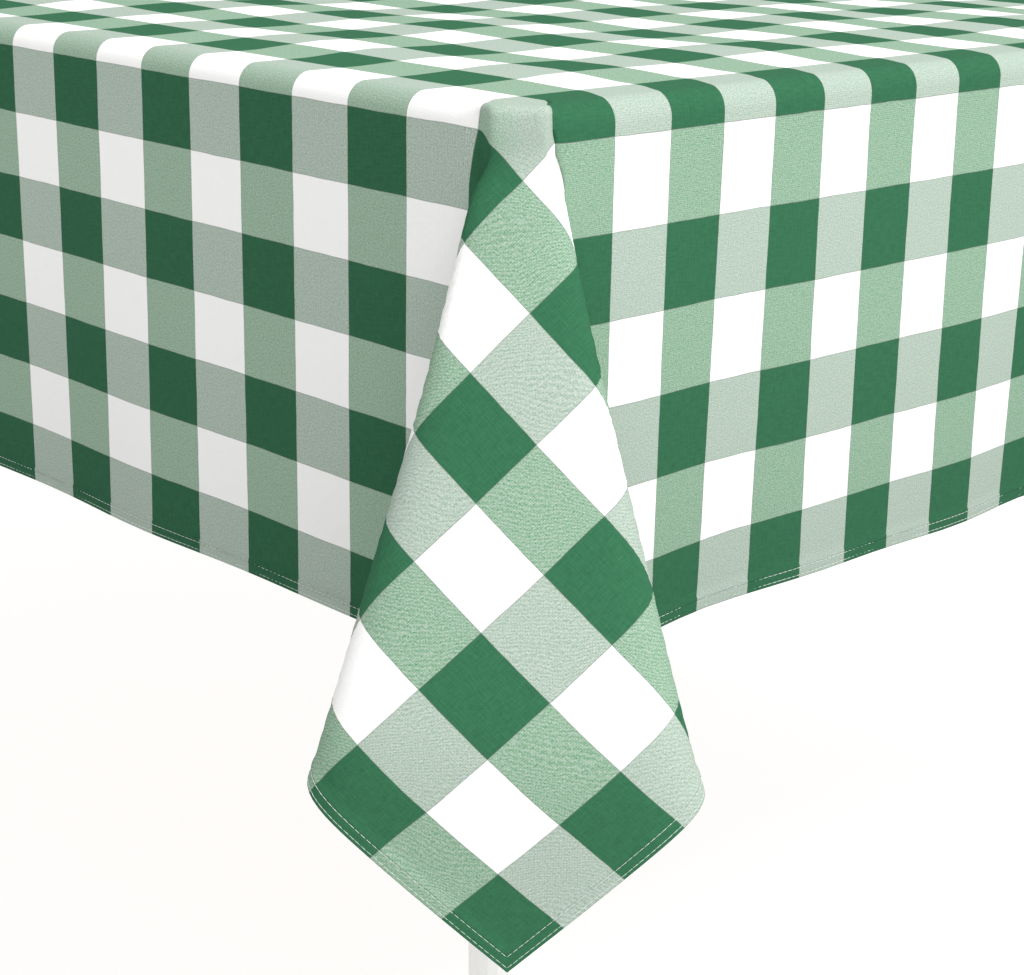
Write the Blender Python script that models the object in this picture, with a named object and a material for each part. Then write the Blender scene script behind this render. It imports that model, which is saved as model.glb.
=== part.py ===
"""A checked tablecloth on a four-legged dining table, modelled piece by piece in metres.

The origin is on the floor under the middle of the table. +X runs along the table, +Y across it
and +Z up. The cloth is a loose cover of nine zones: the top, four side drops and four corner folds.
"""

import math

import bmesh
import bpy
from mathutils import Matrix, Vector

# Table
TABLE_LENGTH = 1.600
TABLE_WIDTH = 1.000
TABLE_HEIGHT = 0.750
BOARD_THICKNESS = 0.028
BOARD_CORNER_RADIUS = 0.035
BOARD_EDGE_RADIUS = 0.008
LEG_SIDE = 0.060
LEG_INSET = 0.040
LEG_BLOCK_HEIGHT = 0.115
LEG_EDGE_RADIUS = 0.003
LEG_SHOULDER_RADIUS = 0.025
LEG_FOOT_RADIUS = 0.015
LEG_FOOT_CHAMFER = 0.002
LEG_FOOT_CHAMFER_HEIGHT = 0.012
# The turned neck under the block: distance below the block, and radius more than the shoulder's.
LEG_TURNING = [
    (0.055, 0.000),
    (0.045, -0.004),
    (0.036, -0.004),
    (0.030, 0.000),
    (0.022, 0.002),
    (0.014, 0.000),
    (0.008, -0.003),
    (-0.010, 0.000),
]
APRON_HEIGHT = 0.090
APRON_THICKNESS = 0.020
APRON_INSET = 0.045
RAIL_WIDTH = 0.045
RAIL_HEIGHT = 0.030
RAIL_EDGE_RADIUS = 0.002

# Corner braces and their bolts
BRACE_THICKNESS = 0.020
BRACE_HEIGHT = 0.050
BRACE_DROP = 0.020
BRACE_TO_LEG = 0.010
BOLT_RADIUS = 0.004
BOLT_GRIP_IN_LEG = 0.025
BOLT_STICKS_OUT = 0.014
NUT_ACROSS_FLATS = 0.013
NUT_HEIGHT = 0.007

# Angle brackets under the board, and their screws
BRACKET_LEG = 0.026
BRACKET_WIDTH = 0.022
BRACKET_SHEET = 0.002
BRACKET_HOLE_OFFSET = 0.016
BRACKETS_ON_LONG_APRON = 2
BRACKET_SPACING = 0.800
SCREW_RADIUS = 0.0020
SCREW_HEAD_RADIUS = 0.0040
SCREW_HEAD_HEIGHT = 0.0022
SCREW_LENGTH = 0.016
SCREW_POINT_LENGTH = 0.003

# Nail-in glides under the legs
GLIDE_RADIUS = 0.012
GLIDE_THICKNESS = 0.004
GLIDE_CHAMFER = 0.0015
GLIDE_NAIL_RADIUS = 0.0015
GLIDE_NAIL_LENGTH = 0.014

# Tablecloth
CLOTH_THICKNESS = 0.001
CLOTH_DROP = 0.255
FOLD_NOSE_HALF_WIDTH = 0.016
FOLD_SHOULDER_DROP = 0.272
FOLD_SHOULDER_HALF_WIDTH = 0.082
FOLD_SHOULDER_OUT = 0.050
FOLD_SHOULDER_SAG = 0.012
FOLD_TIP_DROP = 0.368
FOLD_TIP_OUT = 0.062
FOLD_TIP_HALF_WIDTH = 0.002

# Every pair of neighbours keeps this gap.
GAP = 0.0003

WOOD = ((0.42, 0.27, 0.15), 0.45, 0.0)
PAINT = ((0.86, 0.86, 0.84), 0.40, 0.0)
STEEL = ((0.62, 0.63, 0.65), 0.35, 1.0)
PLASTIC = ((0.20, 0.20, 0.20), 0.50, 0.0)
CLOTH = ((0.30, 0.52, 0.36), 0.85, 0.0)

ROUND_SEGMENTS = 24
SMALL_ROUND_SEGMENTS = 12
CORNERS = {
    "front_right": (1, -1),
    "back_right": (1, 1),
    "back_left": (-1, 1),
    "front_left": (-1, -1),
}

BOARD_BOTTOM = TABLE_HEIGHT - BOARD_THICKNESS
FRAME_TOP = BOARD_BOTTOM - GAP
APRON_INNER = APRON_INSET + APRON_THICKNESS
LEG_CENTRE_INSET = LEG_INSET + LEG_SIDE / 2


def clear_scene():
    for old in list(bpy.data.objects):
        bpy.data.objects.remove(old, do_unlink=True)


def give_material(obj, look):
    colour, roughness, metallic = look
    material = bpy.data.materials.new(obj.name)
    material.use_nodes = True
    shader = material.node_tree.nodes["Principled BSDF"]
    shader.inputs["Base Color"].default_value = (*colour, 1.0)
    shader.inputs["Roughness"].default_value = roughness
    shader.inputs["Metallic"].default_value = metallic
    obj.data.materials.append(material)


def object_from(name, shape, look=None, at=(0, 0, 0), turn=0.0):
    """A new object of this bmesh, turned about Z. Without a look it is a hidden helper."""
    mesh = bpy.data.meshes.new(name)
    bmesh.ops.recalc_face_normals(shape, faces=shape.faces)
    shape.to_mesh(mesh)
    shape.free()
    obj = bpy.data.objects.new(name, mesh)
    obj.location = at
    obj.rotation_euler = (0, 0, turn)
    bpy.context.scene.collection.objects.link(obj)
    if look is None:
        obj.hide_render = True
        obj.display_type = "WIRE"
    else:
        give_material(obj, look)
    return obj


def box(low, high):
    shape = bmesh.new()
    low = Vector(low)
    high = Vector(high)
    bmesh.ops.create_cube(shape, size=1.0)
    bmesh.ops.scale(shape, vec=high - low, verts=shape.verts)
    bmesh.ops.translate(shape, vec=(low + high) / 2, verts=shape.verts)
    return shape


def prism(outline, bottom, top):
    """The outline's (x, y) points extruded from bottom to top."""
    shape = bmesh.new()
    floor = shape.faces.new([shape.verts.new((x, y, bottom)) for x, y in outline])
    grown = bmesh.ops.extrude_face_region(shape, geom=[floor])["geom"]
    raised = [item for item in grown if isinstance(item, bmesh.types.BMVert)]
    bmesh.ops.translate(shape, vec=(0, 0, top - bottom), verts=raised)
    return shape


def turned(profile, segments):
    """The (radius, height) profile, from one end to the other, turned about Z and capped."""
    shape = bmesh.new()
    rings = []
    for radius, height in profile:
        ring = []
        for step in range(segments):
            angle = math.tau * step / segments
            ring.append(shape.verts.new((radius * math.cos(angle), radius * math.sin(angle), height)))
        rings.append(ring)
    for lower, upper in zip(rings, rings[1:]):
        for step in range(segments):
            after = (step + 1) % segments
            shape.faces.new((lower[step], lower[after], upper[after], upper[step]))
    shape.faces.new(rings[0])
    shape.faces.new(rings[-1])
    return shape


def rod(radius, start, direction, length, segments=SMALL_ROUND_SEGMENTS):
    """A straight cylinder from start along direction."""
    shape = turned([(radius, 0.0), (radius, length)], segments)
    aim = Vector(direction).to_track_quat("Z", "Y").to_matrix().to_4x4()
    bmesh.ops.transform(shape, matrix=Matrix.Translation(start) @ aim, verts=shape.verts)
    return shape


def joined(shapes):
    """Several closed shapes in one bmesh, for a cutter."""
    whole = bmesh.new()
    for shape in shapes:
        mesh = bpy.data.meshes.new("shape")
        bmesh.ops.recalc_face_normals(shape, faces=shape.faces)
        shape.to_mesh(mesh)
        shape.free()
        whole.from_mesh(mesh)
        bpy.data.meshes.remove(mesh)
    return whole


def combine(obj, helper, operation):
    modifier = obj.modifiers.new(helper.name, "BOOLEAN")
    modifier.operation = operation
    modifier.object = helper


def soften(obj, width, segments=2):
    modifier = obj.modifiers.new("edges", "BEVEL")
    modifier.width = width
    modifier.segments = segments
    modifier.limit_method = "ANGLE"
    modifier.angle_limit = math.radians(40)


def smooth(obj, angle=40):
    obj.data.shade_smooth()
    obj.data.set_sharp_from_angle(angle=math.radians(angle))


def rounded_rectangle(half_length, half_width, radius, steps=6):
    points = []
    for quarter, (sx, sy) in enumerate(((1, 1), (-1, 1), (-1, -1), (1, -1))):
        for step in range(steps + 1):
            angle = math.pi / 2 * (quarter + step / steps)
            points.append(
                (
                    sx * (half_length - radius) + radius * math.cos(angle),
                    sy * (half_width - radius) + radius * math.sin(angle),
                )
            )
    return points


def bracket_places():
    """Apron name, foot point on the apron's inner face, and turn about Z, of each angle bracket."""
    across = TABLE_WIDTH / 2 - APRON_INNER
    along = TABLE_LENGTH / 2 - APRON_INNER
    first = -BRACKET_SPACING / 2
    step = BRACKET_SPACING / (BRACKETS_ON_LONG_APRON - 1)
    places = []
    for number in range(BRACKETS_ON_LONG_APRON):
        places.append(("front", (first + step * number, -across), 0.0))
        places.append(("back", (first + step * number, across), math.pi))
    places.append(("right", (along, 0.0), math.pi / 2))
    places.append(("left", (-along, 0.0), -math.pi / 2))
    return places


def bracket_point(foot, turn, inward, up):
    """A point of the bracket's middle plane, inward from the apron and up from the board's underside."""
    direction = Vector((-math.sin(turn), math.cos(turn), 0))
    return Vector((foot[0], foot[1], BOARD_BOTTOM + up)) + direction * inward


def pilot_holes(apron=None):
    """The bracket screws' holes: in one apron, or in the board when no apron is named."""
    holes = []
    for name, foot, turn in bracket_places():
        inward = bracket_point(foot, turn, 1, 0) - bracket_point(foot, turn, 0, 0)
        if apron is None:
            start = bracket_point(foot, turn, GAP + BRACKET_HOLE_OFFSET, -GAP)
            holes.append(rod(SCREW_RADIUS + GAP, start, (0, 0, 1), SCREW_LENGTH))
        elif apron == name:
            start = bracket_point(foot, turn, GAP, -GAP - BRACKET_HOLE_OFFSET)
            holes.append(rod(SCREW_RADIUS + GAP, start, -inward, SCREW_LENGTH))
    return holes


def make_board():
    outline = rounded_rectangle(TABLE_LENGTH / 2, TABLE_WIDTH / 2, BOARD_CORNER_RADIUS)
    board = object_from("tabletop", prism(outline, BOARD_BOTTOM, TABLE_HEIGHT), WOOD)
    soften(board, BOARD_EDGE_RADIUS, 3)
    combine(board, object_from("board_holes", joined(pilot_holes())), "DIFFERENCE")


def make_aprons():
    leg_face_x = TABLE_LENGTH / 2 - LEG_INSET - LEG_SIDE - GAP
    leg_face_y = TABLE_WIDTH / 2 - LEG_INSET - LEG_SIDE - GAP
    outer_x = TABLE_LENGTH / 2 - APRON_INSET
    outer_y = TABLE_WIDTH / 2 - APRON_INSET
    bottom = FRAME_TOP - APRON_HEIGHT
    spans = {
        "front": ((-leg_face_x, -outer_y), (leg_face_x, -outer_y + APRON_THICKNESS)),
        "back": ((-leg_face_x, outer_y - APRON_THICKNESS), (leg_face_x, outer_y)),
        "left": ((-outer_x, -leg_face_y), (-outer_x + APRON_THICKNESS, leg_face_y)),
        "right": ((outer_x - APRON_THICKNESS, -leg_face_y), (outer_x, leg_face_y)),
    }
    for side, (low, high) in spans.items():
        apron = object_from("apron_" + side, box((*low, bottom), (*high, FRAME_TOP)), PAINT)
        holes = object_from("apron_holes_" + side, joined(pilot_holes(side)))
        combine(apron, holes, "DIFFERENCE")


def make_cross_rail():
    reach = TABLE_WIDTH / 2 - APRON_INNER - GAP
    low = (-RAIL_WIDTH / 2, -reach, FRAME_TOP - RAIL_HEIGHT)
    rail = object_from("cross_rail", box(low, (RAIL_WIDTH / 2, reach, FRAME_TOP)), WOOD)
    soften(rail, RAIL_EDGE_RADIUS)


def brace_corner(sx, sy):
    """Where the inner faces of two neighbouring aprons would meet, at the bolt's height."""
    height = FRAME_TOP - BRACE_DROP - BRACE_HEIGHT / 2
    return Vector((sx * (TABLE_LENGTH / 2 - APRON_INNER), sy * (TABLE_WIDTH / 2 - APRON_INNER), height))


def brace_faces():
    """Distances along the diagonal of the leg's inner edge and of the brace's two faces."""
    leg_edge = (LEG_INSET + LEG_SIDE - APRON_INNER) * math.sqrt(2)
    outer = leg_edge + BRACE_TO_LEG
    return leg_edge, outer, outer + BRACE_THICKNESS


def diagonal(sx, sy):
    """The level direction from a corner towards the table's middle."""
    return Vector((-sx, -sy, 0)).normalized()


def make_leg(corner, sx, sy):
    x = sx * (TABLE_LENGTH / 2 - LEG_CENTRE_INSET)
    y = sy * (TABLE_WIDTH / 2 - LEG_CENTRE_INSET)
    foot = GLIDE_THICKNESS + GAP
    block_bottom = FRAME_TOP - LEG_BLOCK_HEIGHT
    half = LEG_SIDE / 2
    leg = object_from(
        "leg_" + corner, box((-half, -half, block_bottom), (half, half, FRAME_TOP)), PAINT, (x, y, 0)
    )
    soften(leg, LEG_EDGE_RADIUS)
    profile = [(LEG_FOOT_RADIUS, foot), (LEG_FOOT_RADIUS + LEG_FOOT_CHAMFER, foot + LEG_FOOT_CHAMFER_HEIGHT)]
    for below, more in LEG_TURNING:
        profile.append((LEG_SHOULDER_RADIUS + more, block_bottom - below))
    shaft = object_from("leg_shaft_" + corner, turned(profile, ROUND_SEGMENTS), at=(x, y, 0))
    combine(leg, shaft, "UNION")
    leg_edge = brace_faces()[0]
    inward = diagonal(sx, sy)
    bolt_start = brace_corner(sx, sy) + inward * (leg_edge - BOLT_GRIP_IN_LEG - GAP)
    bores = [
        rod(BOLT_RADIUS + GAP, bolt_start, inward, BOLT_GRIP_IN_LEG + LEG_SIDE / 2),
        rod(GLIDE_NAIL_RADIUS + GAP, (x, y, 0), (0, 0, 1), foot + GLIDE_NAIL_LENGTH + GAP),
    ]
    combine(leg, object_from("leg_bores_" + corner, joined(bores)), "DIFFERENCE")


def make_brace(corner, sx, sy):
    leg_edge, outer, inner = brace_faces()
    near = outer * math.sqrt(2)
    far = inner * math.sqrt(2)
    outline = [(GAP, near - GAP), (near - GAP, GAP), (far - GAP, GAP), (GAP, far - GAP)]
    middle = brace_corner(sx, sy)
    points = [(middle.x - sx * u, middle.y - sy * v) for u, v in outline]
    shape = prism(points, middle.z - BRACE_HEIGHT / 2, middle.z + BRACE_HEIGHT / 2)
    brace = object_from("corner_brace_" + corner, shape, WOOD)
    hole = rod(BOLT_RADIUS + GAP, middle + diagonal(sx, sy) * leg_edge, diagonal(sx, sy), inner)
    combine(brace, object_from("brace_hole_" + corner, hole), "DIFFERENCE")


def make_bolt_and_nut(corner, sx, sy):
    leg_edge, outer, inner = brace_faces()
    inward = diagonal(sx, sy)
    start = brace_corner(sx, sy) + inward * (leg_edge - BOLT_GRIP_IN_LEG)
    length = inner + BOLT_STICKS_OUT - leg_edge + BOLT_GRIP_IN_LEG
    bolt = object_from("hanger_bolt_" + corner, rod(BOLT_RADIUS, start, inward, length), STEEL)
    smooth(bolt)
    nut_start = brace_corner(sx, sy) + inward * (inner + GAP)
    across_corners = NUT_ACROSS_FLATS / math.sqrt(3)
    hexagon = rod(across_corners, nut_start, inward, NUT_HEIGHT, segments=6)
    nut = object_from("leg_nut_" + corner, hexagon, STEEL)
    hole = rod(BOLT_RADIUS + GAP, nut_start - inward * NUT_HEIGHT, inward, NUT_HEIGHT * 3)
    combine(nut, object_from("nut_hole_" + corner, hole), "DIFFERENCE")


def make_glide(corner, sx, sy):
    x = sx * (TABLE_LENGTH / 2 - LEG_CENTRE_INSET)
    y = sy * (TABLE_WIDTH / 2 - LEG_CENTRE_INSET)
    profile = [
        (GLIDE_RADIUS - GLIDE_CHAMFER, 0.0),
        (GLIDE_RADIUS, GLIDE_CHAMFER),
        (GLIDE_RADIUS, GLIDE_THICKNESS),
        (GLIDE_NAIL_RADIUS, GLIDE_THICKNESS),
        (GLIDE_NAIL_RADIUS, GLIDE_THICKNESS + GLIDE_NAIL_LENGTH),
    ]
    glide = object_from("foot_glide_" + corner, turned(profile, ROUND_SEGMENTS), PLASTIC, (x, y, 0))
    smooth(glide)


def screw_profile():
    return [
        (SCREW_HEAD_RADIUS * 0.6, -SCREW_HEAD_HEIGHT),
        (SCREW_HEAD_RADIUS, -SCREW_HEAD_HEIGHT * 0.4),
        (SCREW_HEAD_RADIUS, 0.0),
        (SCREW_RADIUS, 0.0),
        (SCREW_RADIUS, SCREW_LENGTH - SCREW_POINT_LENGTH),
        (SCREW_RADIUS * 0.3, SCREW_LENGTH),
    ]


def make_screw(name, seat, direction):
    """A screw whose head's underside sits at seat and whose shank runs along direction."""
    screw = object_from(name, turned(screw_profile(), SMALL_ROUND_SEGMENTS), STEEL, seat)
    screw.rotation_euler = direction.to_track_quat("Z", "Y").to_euler()
    smooth(screw)


def make_bracket(number, foot, turn):
    half = BRACKET_WIDTH / 2
    reach = GAP + BRACKET_LEG
    sheet = GAP + BRACKET_SHEET
    profile = [(GAP, -GAP), (GAP, -reach), (sheet, -reach), (sheet, -sheet), (reach, -sheet), (reach, -GAP)]
    shape = bmesh.new()
    end = shape.faces.new([shape.verts.new((-half, inward, up)) for inward, up in profile])
    grown = bmesh.ops.extrude_face_region(shape, geom=[end])["geom"]
    moved = [item for item in grown if isinstance(item, bmesh.types.BMVert)]
    bmesh.ops.translate(shape, vec=(BRACKET_WIDTH, 0, 0), verts=moved)
    at = (foot[0], foot[1], BOARD_BOTTOM)
    bracket = object_from(f"angle_bracket_{number}", shape, STEEL, at, turn)
    middle = GAP + BRACKET_HOLE_OFFSET
    drills = [
        rod(SCREW_RADIUS + GAP, (0, middle, -middle / 2), (0, 0, 1), middle),
        rod(SCREW_RADIUS + GAP, (0, -middle / 2, -middle), (0, 1, 0), middle),
    ]
    combine(bracket, object_from(f"bracket_holes_{number}", joined(drills), None, at, turn), "DIFFERENCE")
    seat = sheet + GAP
    up_seat = bracket_point(foot, turn, middle, -seat)
    make_screw(f"board_screw_{number}", up_seat, Vector((0, 0, 1)))
    side_seat = bracket_point(foot, turn, seat, -middle)
    outward = bracket_point(foot, turn, 0, 0) - bracket_point(foot, turn, 1, 0)
    make_screw(f"apron_screw_{number}", side_seat, outward)


def make_cloth_top():
    spread = GAP + CLOTH_THICKNESS
    outline = rounded_rectangle(
        TABLE_LENGTH / 2 + spread, TABLE_WIDTH / 2 + spread, BOARD_CORNER_RADIUS + spread
    )
    bottom = TABLE_HEIGHT + GAP
    object_from("cloth_top", prism(outline, bottom, bottom + CLOTH_THICKNESS), CLOTH)


def make_cloth_sides():
    along = TABLE_LENGTH / 2 - BOARD_CORNER_RADIUS
    across = TABLE_WIDTH / 2 - BOARD_CORNER_RADIUS
    near_x = TABLE_LENGTH / 2 + GAP
    near_y = TABLE_WIDTH / 2 + GAP
    hem = TABLE_HEIGHT - CLOTH_DROP
    spans = {
        "front": ((-along, -near_y - CLOTH_THICKNESS), (along, -near_y)),
        "back": ((-along, near_y), (along, near_y + CLOTH_THICKNESS)),
        "left": ((-near_x - CLOTH_THICKNESS, -across), (-near_x, across)),
        "right": ((near_x, -across), (near_x + CLOTH_THICKNESS, across)),
    }
    for side, (low, high) in spans.items():
        object_from("cloth_drop_" + side, box((*low, hem), (*high, TABLE_HEIGHT)), CLOTH)


def fold_rows():
    """Drop, half width, stand-out and sag of the fold's rows, from its nose to its tip."""
    nose_sag = BOARD_CORNER_RADIUS - math.sqrt(BOARD_CORNER_RADIUS**2 - FOLD_NOSE_HALF_WIDTH**2)
    nose = (0.0, FOLD_NOSE_HALF_WIDTH, GAP, nose_sag)
    shoulder = (FOLD_SHOULDER_DROP, FOLD_SHOULDER_HALF_WIDTH, FOLD_SHOULDER_OUT, FOLD_SHOULDER_SAG)
    tip = (FOLD_TIP_DROP, FOLD_TIP_HALF_WIDTH, FOLD_TIP_OUT, 0.0)
    rows = []
    for start, end, steps in ((nose, shoulder, 4), (shoulder, tip, 2)):
        for step in range(steps):
            share = step / steps
            rows.append([a + (b - a) * share for a, b in zip(start, end)])
    rows.append(list(tip))
    return rows


def make_cloth_fold(corner, sx, sy):
    """The hanging corner: a thin kite that starts at the board's round corner and stands out below it."""
    across = 6
    shape = bmesh.new()
    layers = []
    for lift in (0.0, CLOTH_THICKNESS):
        layer = []
        for drop, half_width, out, sag in fold_rows():
            row = []
            for step in range(across + 1):
                share = 2 * step / across - 1
                place = (half_width * share, -(out + lift - sag * share * share), -drop)
                row.append(shape.verts.new(place))
            layer.append(row)
        layers.append(layer)
    back, front = layers
    last = len(back) - 1
    for row in range(last):
        for step in range(across):
            for layer in (back, front):
                shape.faces.new(
                    (layer[row][step], layer[row][step + 1], layer[row + 1][step + 1], layer[row + 1][step])
                )
        for side in (0, across):
            shape.faces.new((back[row][side], back[row + 1][side], front[row + 1][side], front[row][side]))
    for row in (0, last):
        for step in range(across):
            shape.faces.new((back[row][step], back[row][step + 1], front[row][step + 1], front[row][step]))
    inset = BOARD_CORNER_RADIUS * (1 - math.sqrt(0.5))
    at = (sx * (TABLE_LENGTH / 2 - inset), sy * (TABLE_WIDTH / 2 - inset), TABLE_HEIGHT)
    turn = math.atan2(sx, -sy)
    fold = object_from("cloth_fold_" + corner, shape, CLOTH, at, turn)
    smooth(fold)


def build():
    clear_scene()
    make_board()
    make_aprons()
    make_cross_rail()
    for corner, (sx, sy) in CORNERS.items():
        make_leg(corner, sx, sy)
        make_brace(corner, sx, sy)
        make_bolt_and_nut(corner, sx, sy)
        make_glide(corner, sx, sy)
        make_cloth_fold(corner, sx, sy)
    for number, (_, foot, turn) in enumerate(bracket_places(), start=1):
        make_bracket(number, foot, turn)
    make_cloth_top()
    make_cloth_sides()


build()
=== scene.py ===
# %% [markdown]
# # A gingham tablecloth on a table
# The cloth is one sheet of checked cotton, 2.10 m by 1.50 m, laid on a table of 1.60 m by 1.00 m.
# It hangs down about 25 cm on every side, and at each corner the spare cloth stands out as a fold
# with a hanging point. The table under it is a wooden board on four painted legs.
# The script makes the cloth and its hem, gives every piece a finish, then sets the floor,
# the lamps and the camera.

import math
import random

import bmesh
import bpy
import numpy as np
from mathutils import Matrix, Vector


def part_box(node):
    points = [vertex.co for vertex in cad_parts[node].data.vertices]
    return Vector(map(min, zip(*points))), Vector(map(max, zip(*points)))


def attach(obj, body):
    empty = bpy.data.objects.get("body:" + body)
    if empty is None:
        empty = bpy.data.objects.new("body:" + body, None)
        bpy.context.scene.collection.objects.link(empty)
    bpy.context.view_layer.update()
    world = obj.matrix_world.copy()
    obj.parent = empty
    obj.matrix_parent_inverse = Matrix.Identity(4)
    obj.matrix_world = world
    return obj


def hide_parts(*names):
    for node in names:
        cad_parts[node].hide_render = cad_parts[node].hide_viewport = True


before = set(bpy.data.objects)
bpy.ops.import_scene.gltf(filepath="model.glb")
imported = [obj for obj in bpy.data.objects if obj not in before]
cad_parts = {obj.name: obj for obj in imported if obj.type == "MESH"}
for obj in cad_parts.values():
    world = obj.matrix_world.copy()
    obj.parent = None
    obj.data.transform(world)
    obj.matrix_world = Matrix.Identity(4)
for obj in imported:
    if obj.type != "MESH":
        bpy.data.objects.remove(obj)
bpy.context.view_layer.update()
board_low, board_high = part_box("tabletop")
print("board", [round(x, 4) for x in board_low], [round(x, 4) for x in board_high])

# %% [markdown]
# ## The sizes of the cloth
# All sizes are in metres. The board's size comes from the frame. The cloth lies a fraction of a
# millimetre clear of the board, because two surfaces in the same place flicker in a render.

# %% Sizes
CLOTH_LENGTH, CLOTH_WIDTH = 2.10, 1.50
CLEARANCE = 0.0008  # from the board to the middle of the cloth
CORNER_RADIUS = 0.0350 + CLEARANCE  # the board's rounded corner, seen from above
ROLL_RADIUS = 0.010  # how tightly the cloth turns over the board's edge

half_length = board_high.x + CLEARANCE
half_width = board_high.y + CLEARANCE
top_height = board_high.z + CLEARANCE
print("the cloth hangs", round(CLOTH_LENGTH / 2 - half_length, 3), "m over each edge")

# %% [markdown]
# ## How the corner fold turns
# At a corner the cloth fans out from the rounded corner of the board. Each straight line of the fan
# hangs in some direction, and those directions, drawn as points on a ball, trace one line. Cloth
# doesn't stretch much, so that line has a fixed length, a quarter turn: it leaves one side hanging
# straight down, turns sharply outwards in a valley, turns back round a ridge, crosses the flat front
# of the fold, and does the same in mirror image. The two turns have to be just strong enough for the
# two halves to meet. Newton's method finds them, which keeps the fold true for any other width.

# %% The line that the fan's directions trace
FAN_STEPS = 180
FIRST_TURNS, MOST_TRIES, NUDGE = [137.0, 160.0], 25, 1e-5  # for Newton's method, in degrees
QUARTER = math.pi / 2
outward = np.array([1.0, 1.0, 0.0]) / math.sqrt(2)
sideways = np.array([-1.0, 1.0, 0.0]) / math.sqrt(2)


def hump(x):
    """A smooth hump of area 1 between -1 and 1."""
    return 15 / 16 * (1 - x * x) ** 2 if abs(x) < 1 else 0.0


def trace_fan(valley, ridge, crown, turns):
    """The direction in which each line of the fan hangs, from one side round to the other."""

    def bend(angle):
        x = min(angle, QUARTER - angle)
        out = turns[0] * hump((x - valley[0]) / valley[1]) / valley[1]
        back = turns[1] * hump((x - ridge[0]) / ridge[1]) / ridge[1]
        return out - back - crown

    step = QUARTER / FAN_STEPS
    hang, heading = np.array([0.0, 0.0, -1.0]), np.array([0.0, 1.0, 0.0])
    hangs, headings = [hang], [heading]
    for i in range(FAN_STEPS):
        turn = bend((i + 0.5) * step)
        middle = hang + step / 2 * heading
        middle_heading = heading + step / 2 * (turn * np.cross(hang, heading) - hang)
        hang = hang + step * middle_heading
        heading = heading + step * (turn * np.cross(middle, middle_heading) - middle)
        hang = hang / np.linalg.norm(hang)
        heading = heading - hang * (hang @ heading)
        heading = heading / np.linalg.norm(heading)
        hangs.append(hang)
        headings.append(heading)
    return np.array(hangs), np.array(headings)


def close_fan(valley, ridge, crown):
    """The fan whose two turns make its halves meet in the middle."""
    middle = FAN_STEPS // 2

    def miss(turns):
        hangs, headings = trace_fan(valley, ridge, crown, turns)
        return np.array([hangs[middle] @ sideways, headings[middle] @ outward])

    turns = np.radians(FIRST_TURNS)
    for _ in range(MOST_TRIES):
        off = miss(turns)
        if abs(off).max() < 1e-8:
            break
        slope = np.array([(miss(turns + d) - off) / NUDGE for d in np.eye(2) * NUDGE]).T
        change = np.linalg.solve(slope, -off)
        turns = turns + change * min(1.0, 0.3 / abs(change).max())
    hangs, _ = trace_fan(valley, ridge, crown, turns)
    tilt = math.degrees(math.atan2(hangs[middle] @ outward, -hangs[middle][2]))
    print("turns", np.degrees(turns).round(1), "front tilts", round(tilt, 1), "miss", abs(off).max())
    return hangs


# %% [markdown]
# ## Four corners, each a little different
# No two folds of a real cloth fall alike. Each corner has its own place and half width for the valley
# and the ridge, in degrees, and its own curve across the front, its crown. Its point leans to one
# side, uncurls towards the table by its own amount, and its tab stands a millimetre off the middle.
# The near right corner, at +X and -Y, is the one that is seen first.

# %% The four fans
KEYS = ("valley", "ridge", "crown", "lean", "uncurl", "off")
CORNERS = {
    (1, -1): ((8.3, 8.2), (29.0, 7.7), 0.45, -0.096, 1.15, 0.0011),
    (1, 1): ((7.6, 7.5), (28.2, 7.9), 0.40, 0.060, 1.00, -0.0010),
    (-1, 1): ((8.9, 8.6), (29.6, 7.2), 0.45, -0.030, 1.10, 0.0006),
    (-1, -1): ((8.0, 7.9), (28.6, 7.4), 0.42, 0.110, 0.95, -0.0014),
}
CORNERS = {corner: dict(zip(KEYS, values)) for corner, values in CORNERS.items()}
fans = {
    corner: close_fan(np.radians(c["valley"]), np.radians(c["ridge"]), c["crown"])
    for corner, c in CORNERS.items()
}

# %% [markdown]
# ## How the cloth lies
# Every point of the flat cloth has a place on the table. A point over the board stays where it is.
# A point past an edge goes over a small roll and hangs down. A point past a corner goes down its own
# line of the fan. The lines of the fold's front bend until they hang nearly straight, because the
# heavy point pulls the cloth in again. The sides then get the slow ripples that cotton keeps from
# its folds in the cupboard, deepest at the hem, and the top gets waves of a millimetre. A simulation
# could drape the cloth too, but it would not put the folds where a hand has put them.

# %% [markdown]
# ## The tab under the board's edge
# Right under the board's corner the fold starts as a small tab with a flat front and two short walls.
# Seen from above, the tab's outline is a flat front, a wall on each side that goes back to the board,
# and then the board's own round corner. The outline is drawn as a few straight runs and one arc, and
# then averaged with its neighbours, which rounds its corners as thick cloth would.

# %% The tab's outline
TAB_FRONT, TAB_FOOT = 0.0114, 0.0160  # half its front and half its foot
TAB_PROUD = 0.0058  # how far its front stands out from the round corner
TAB_FRONT_SHARE, TAB_WALL_SHARE = 0.40, 0.84  # where the front and the walls end, from middle to side
TAB_AVERAGES = 4
STEPS = np.linspace(0, QUARTER, FAN_STEPS + 1)


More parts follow.
